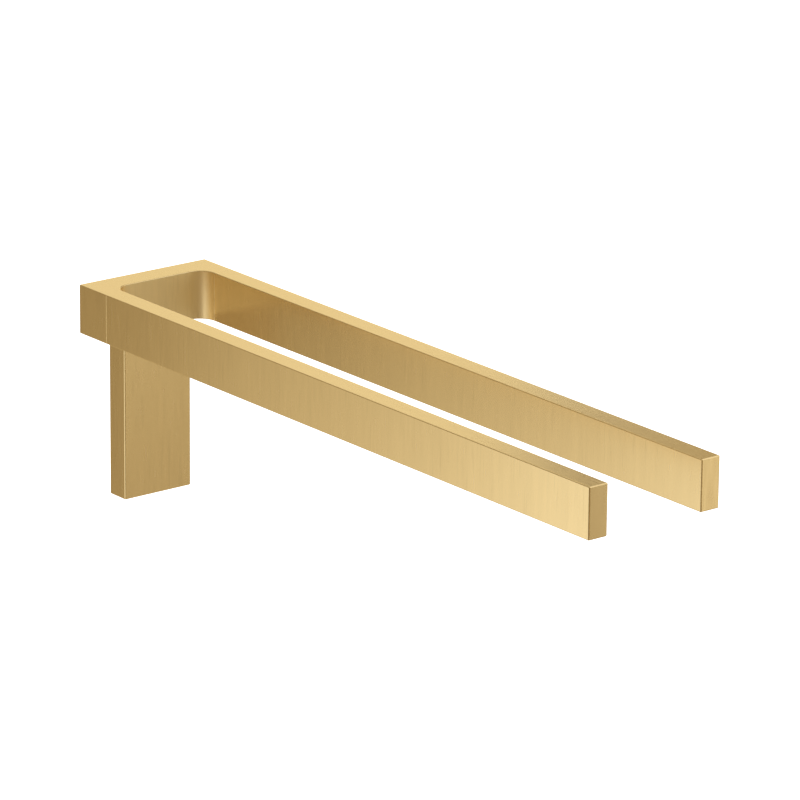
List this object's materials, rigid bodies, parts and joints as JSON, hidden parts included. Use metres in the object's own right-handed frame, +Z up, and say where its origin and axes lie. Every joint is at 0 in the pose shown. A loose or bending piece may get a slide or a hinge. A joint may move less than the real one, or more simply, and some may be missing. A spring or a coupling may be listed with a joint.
{
  "type": "towel holder",
  "caption": "Rigid wall-mounted towel holder: parallel flat bars stand out from a U-shaped head on a slim wall post, which hangs on a hidden bracket and is clamped from below.",
  "frame": {"origin": "in the wall plane, midway between the two wall screw holes of the bracket", "axes": "+Z up; +Y into the wall, so the arms stand out along -Y; +X to the right as seen by a person facing the wall"},
  "size_m": [0.085, 0.436, 0.125],
  "materials": {
    "brushed_brass": "fine brushed, gold tone",
    "bracket_steel": "blasted stainless",
    "screw_steel": "turned stainless"
  },
  "bodies": {
    "root": {"yoke": "brushed_brass", "left_arm": "brushed_brass", "right_arm": "brushed_brass", "wall_post": "brushed_brass", "wall_bracket": "bracket_steel", "clamp_screw": "screw_steel", "left_arm_screw": "screw_steel", "right_arm_screw": "screw_steel", "left_arm_lock_washer": "screw_steel", "right_arm_lock_washer": "screw_steel", "left_arm_dowels": "screw_steel", "right_arm_dowels": "screw_steel", "post_screws": "screw_steel", "post_lock_washers": "screw_steel", "post_dowels": "screw_steel"}
  },
  "joints": []
}
